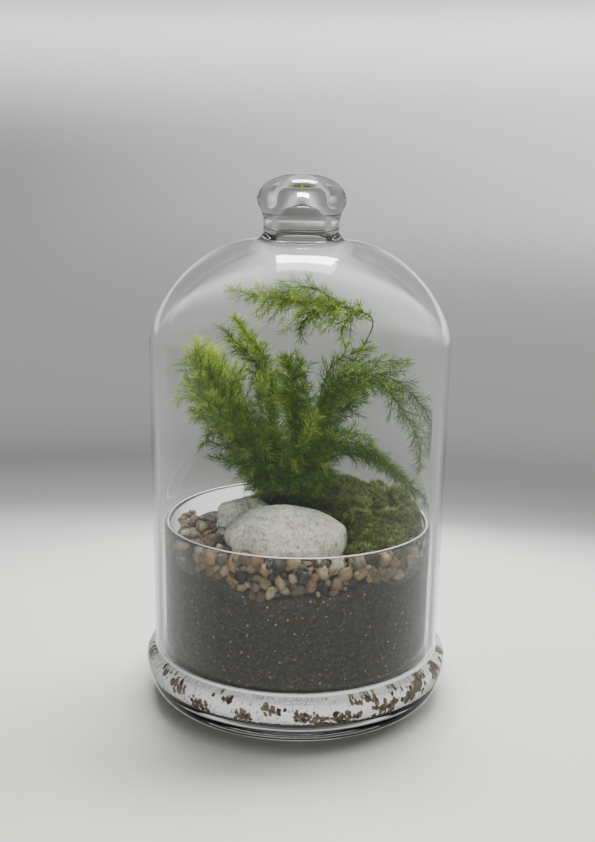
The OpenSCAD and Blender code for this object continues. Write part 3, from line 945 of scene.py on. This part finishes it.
# shorter canes that fill the gaps between the fronds: route and plume radius, tone
FILL = {
    "left": [([(-8, 8, 88, 0.9), (-10, 8, 104, 1), (-24, 4, 126, 3), (-35, 2, 144, 4.5),
               (-41, 4, 158, 4), (-39, 6, 167, 1)], 0.72),
             ([(-8, 6, 88, 0.9), (-14, 4, 110, 1), (-26, -4, 134, 4), (-33, -8, 148, 4.5),
               (-32, -8, 160, 3), (-28, -8, 168, 1)], 0.62)],
    "left_mid": [([(-6, 10, 88, 0.9), (-10, 10, 103, 1), (-22, 14, 130, 4), (-28, 16, 146, 4.5),
                   (-33, 16, 160, 1)], 0.55),
                 ([(-5, 12, 88, 0.9), (-14, 22, 112, 1), (-34, 24, 126, 4), (-48, 20, 136, 3.5),
                   (-54, 16, 140, 1)], 0.5)],
    "centre": [([(-2, 3, 88, 0.9), (-7, 2, 109, 1), (-13, -4, 138, 4), (-20, -8, 151, 4),
                 (-16, -10, 165, 1)], 0.55),
               ([(0, -2, 90, 0.9), (1, -14, 125, 0.8), (5, -22, 142, 3), (7, -24, 149, 1.5)], 0.8)],
    "right_mid": [([(1, 8, 88, 0.9), (1, 10, 106, 0.9), (12, 14, 134, 3), (21, 16, 147, 3),
                    (32, 18, 154, 1)], 0.42)],
    "lower_right": [([(1, 4, 88, 0.9), (3, 2, 108, 0.9), (13, -8, 129, 3), (25, -12, 137, 3),
                      (36, -12, 133, 1)], 0.5)],
    "lower_left": [([(-7, 6, 88, 0.9), (-12, 2, 111, 0.9), (-27, -6, 128, 3), (-41, -8, 135, 2.5),
                     (-48, -10, 128, 0.8)], 0.5)],
    "tall": [([(22, 4, 201, 1.5), (12, 2, 198, 4), (3, 0, 193, 4), (-1, -2, 187, 2)], 0.5),
             ([(17, 4, 202, 1.5), (5, -2, 208, 4), (-6, -4, 208, 3)], 0.6),
             ([(30, 8, 197, 1.5), (24, 6, 193, 4), (20, 4, 187, 2)], 0.5)],
}
for k, (key, (points, *rest)) in enumerate(FRONDS.items()):
    hanging = {"sag": 0.3, "pitch": 1.3} if key == "tall" else {}
    frond(key, points, 100 + k, *rest, **hanging)

crown_ball, crown_tri = icosphere(4)
crown = rough_ball(crown_ball, 2, 0.25, 2.2) * (8.6, 8.6, 3.6) + (-1, 10, 86.4)
mesh("fern_base", crown, crown_tri, MOSS, "fern", BASE, ["fern_crown"],
     np.full(len(crown), 0.25))

# ---------------- stage
n = Nodes("table")
spot = n.place()
away = n.add("VectorMath", operation="DISTANCE", i0=spot, i1=(0, 0, 0)).outputs["Value"]
tone = n.ramp(n.noise(spot, 7, 2), [(0.3, (0.775, 0.775, 0.725)), (0.7, (0.83, 0.83, 0.78))])
# a painted contact shadow on the table, darkest beside the foot: distances from the axis in metres
shade = n.ramp(n.math("MULTIPLY", away, 10.0),
               [(r * 10, (grey, grey, grey))
                for r, grey in ((0.070, 0.45), (0.076, 0.62), (0.082, 0.84), (0.092, 1))])
lit = n.add("BsdfPrincipled", Base_Color=n.mix(1.0, tone, shade, "MULTIPLY"), Roughness=0.55)
# away from the object the table gives way to the backdrop, which carries on its floor
fade = n.add("MapRange", Value=away, From_Min=0.20, From_Max=0.32)
fade.interpolation_type = "SMOOTHERSTEP"
n.blend(fade.outputs[0], lit, n.add("BsdfTransparent"))
TABLE_R, SIDES = 0.36, 96
turns = [TAU * i / SIDES for i in range(SIDES)]
data = bpy.data.meshes.new("table_top")
data.from_pydata([(TABLE_R * math.cos(a), TABLE_R * math.sin(a), 0) for a in turns], [],
                 [tuple(range(SIDES))])
data.materials.append(n.mat)
table = bpy.data.objects.new("table_top", data)
bpy.context.scene.collection.objects.link(table)
# the glass sees the bright sweep of the backdrop and a dark room in front, not this disc
table.visible_glossy = table.visible_transmission = False

sky = Nodes("tent", world=True)
bpy.context.scene.world = sky.mat
axes = sky.add("SeparateXYZ", Vector=sky.add("TexCoord").outputs["Generated"]).outputs


def level(axis, stops, tint=(1, 1.01, 0.985)):
    """Grey levels by one component of the direction, from -1 to 1."""
    part = sky.add("MapRange", Value=axes[axis], From_Min=-1).outputs[0]
    return sky.ramp(part, [((at + 1) / 2, [value * c for c in tint]) for at, value in stops])


def share(axis, stops):
    """A factor by one component of the direction."""
    return level(axis, stops, WHITE)


# the backdrop: a grey sweep over a bright table, with more light from the right
back_left = level("Z", [
    (-1.0, 1.45), (-0.34, 1.38), (-0.318, 1.26), (-0.303, 1.04), (-0.288, 0.58), (-0.281, 0.43),
    (-0.265, 0.335), (-0.250, 0.255), (-0.242, 0.27), (-0.223, 0.33), (-0.2, 0.36),
    (-0.036, 0.385), (-0.013, 0.40), (0.01, 0.50), (0.032, 0.75), (0.054, 1.07), (0.076, 1.4),
    (0.088, 1.4), (0.13, 0.45), (1.0, 0.4)])
back_right = level("Z", [
    (-1.0, 1.95), (-0.34, 1.85), (-0.318, 1.43), (-0.303, 0.88), (-0.296, 0.51), (-0.281, 0.36),
    (-0.265, 0.29), (-0.250, 0.30), (-0.223, 0.37), (-0.153, 0.395), (-0.129, 0.44),
    (-0.106, 0.54), (-0.082, 0.72), (-0.059, 0.92), (-0.013, 1.08), (0.032, 1.27), (0.076, 1.85),
    (0.088, 1.85), (0.13, 0.55), (1.0, 0.45)])
back = sky.mix(share("X", [(-1, 0), (-0.22, 0), (0.25, 1), (1, 1)]), back_left, back_right)
sides = level("Y", [(-1.0, 0.24), (-0.75, 0.25), (-0.4, 0.29), (0.0, 0.43), (0.5, 0.50),
                    (0.85, 0.44), (1.0, 0.40)])
below = share("Z", [(-1, 0.12), (-0.8, 0.15), (-0.6, 0.8), (-0.3, 1.3), (-0.15, 1), (1, 1)])
sides = sky.mix(1.0, sides, below, "MULTIPLY")
# panels of light high behind the object, none in front of it
panels = level("Z", [(-1.0, 0.5), (0.5, 0.5), (0.68, 0.8), (0.78, 1.3), (0.9, 1.6),
                     (0.96, 1.2), (1.0, 0.8)])
behind = share("Y", [(-1, 0.04), (-0.3, 0.05), (-0.05, 0.15), (0.2, 1), (1, 1)])
lean = share("X", [(-1, 0.7), (1, 1.3)])
over = sky.mix(1.0, sky.mix(1.0, panels, behind, "MULTIPLY"), lean, "MULTIPLY")
low = sky.mix(share("Y", [(-1, 0), (0.78, 0), (0.88, 1), (1, 1)]), sides, back)
tent = sky.mix(share("Z", [(-1, 0), (0.12, 0), (0.5, 1), (1, 1)]), low, over)
sky.link(sky.add("Background", Color=tent).outputs[0], sky.out.inputs["Surface"])


def lamp(name, at, aim, size, power, mirrored=True):
    """A rectangle of light. mirrored: whether the glass shows it."""
    light = bpy.data.lights.new(name, "AREA")
    light.shape = "RECTANGLE"
    light.size, light.size_y = size
    light.energy = power
    obj = bpy.data.objects.new(name, light)
    bpy.context.scene.collection.objects.link(obj)
    obj.location = at
    obj.rotation_mode = "QUATERNION"
    obj.rotation_quaternion = (Vector(aim) - Vector(at)).to_track_quat("-Z", "Y")
    obj.visible_glossy = obj.visible_transmission = mirrored


lamp("ceiling_strip", (0.03, 0.38, 0.97), (0, 0, 0.1), (0.36, 0.20), 13.5)
lamp("right_window", (0.62, 0.52, 0.90), (0, 0, 0.05), (0.5, 0.5), 10.0, mirrored=False)
lamp("front_fill", (0.1, -1.3, 0.19), (0, 0, 0.06), (0.8, 0.2), 14.5, mirrored=False)

# ---------------- camera
PITCH, ROLL = 0.224, 0.014    # radians down from level, and of lean
EYE = (-0.0007, -0.5931, 0.2747)
right = np.array([1.0, 0, 0])
up = np.array([0, math.sin(PITCH), math.cos(PITCH)])
forward = np.array([0, math.cos(PITCH), -math.sin(PITCH)])
c, s = math.cos(ROLL), math.sin(ROLL)
axis_x, axis_y = c * right + s * up, -s * right + c * up
cam_data = bpy.data.cameras.new("camera")
cam_data.lens = 52.41805
cam_data.clip_start, cam_data.clip_end = 0.01, 50
camera = bpy.data.objects.new("camera", cam_data)
bpy.context.scene.collection.objects.link(camera)
camera.matrix_world = Matrix([[axis_x[i], axis_y[i], -forward[i], EYE[i]] for i in range(3)]
                             + [[0, 0, 0, 1]])
bpy.context.scene.camera = camera
